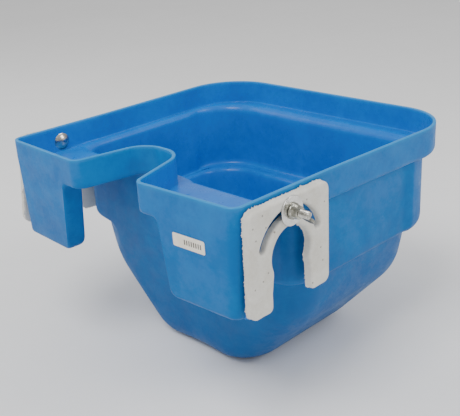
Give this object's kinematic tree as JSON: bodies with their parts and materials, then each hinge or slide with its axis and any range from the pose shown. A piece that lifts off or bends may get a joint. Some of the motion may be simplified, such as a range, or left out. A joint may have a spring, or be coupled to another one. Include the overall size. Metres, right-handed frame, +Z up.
{
  "type": "hook-over feed trough",
  "caption": "Moulded hook-over feed trough with two hollow legs that drop behind a fence rail and swinging side plates, locked by wing nuts, that clamp the rail.",
  "frame": {"origin": "bottom centre of the bounding box, on the flat base", "axes": "+Z up, the rail side with its notch and legs toward -Y, the back toward +Y, X across"},
  "size_m": [0.425, 0.3776, 0.261],
  "materials": {
    "tub_plastic": "semi-gloss moulded blue polyethylene with a hazy outer skin",
    "plate_board": "matt off-white board with rough sawn edges",
    "zinc_bolt": "bright zinc plate",
    "zinc_washer": "bright zinc plate",
    "zinc_nut": "bright zinc plate, cast",
    "label_film": "satin cream label film"
  },
  "bodies": {
    "tub": {"tub_shell": "tub_plastic", "carriage_bolt_left": "zinc_bolt", "carriage_bolt_right": "zinc_bolt", "size_label": "label_film"},
    "left_clamp": {"clamp_plate_left": "plate_board"},
    "left_washer": {"washer_left": "zinc_washer"},
    "left_nut": {"wing_nut_left": "zinc_nut"},
    "right_clamp": {"clamp_plate_right": "plate_board"},
    "right_washer": {"washer_right": "zinc_washer"},
    "right_nut": {"wing_nut_right": "zinc_nut"}
  },
  "joints": [
    {"name": "left_clamp_swing", "type": "hinge", "parent": "tub", "child": "left_clamp", "pos_m": [-0.1863, -0.1175, 0.1995], "axis": [1, 0, 0], "range_deg": [-61, 73]},
    {"name": "left_washer_travel", "type": "slide", "parent": "tub", "child": "left_washer", "axis": [-1, 0, 0], "range_m": [0, 0.005]},
    {"name": "left_nut_turn", "type": "hinge", "parent": "left_washer", "child": "left_nut", "pos_m": [-0.1974, -0.1175, 0.242], "axis": [-1, 0, 0], "range_deg": [0, 1440]},
    {"name": "right_clamp_swing", "type": "hinge", "parent": "tub", "child": "right_clamp", "pos_m": [0.1863, -0.1175, 0.1995], "axis": [1, 0, 0], "range_deg": [-67, 67]},
    {"name": "right_washer_travel", "type": "slide", "parent": "tub", "child": "right_washer", "axis": [1, 0, 0], "range_m": [0, 0.005]},
    {"name": "right_nut_turn", "type": "hinge", "parent": "right_washer", "child": "right_nut", "pos_m": [0.1974, -0.1175, 0.242], "axis": [1, 0, 0], "range_deg": [0, 1440]}
  ],
  "couplings": [
    {"joint": "left_nut_turn", "follows": "left_washer_travel", "rad_per_m": 5026.5},
    {"joint": "right_nut_turn", "follows": "right_washer_travel", "rad_per_m": 5026.5}
  ]
}
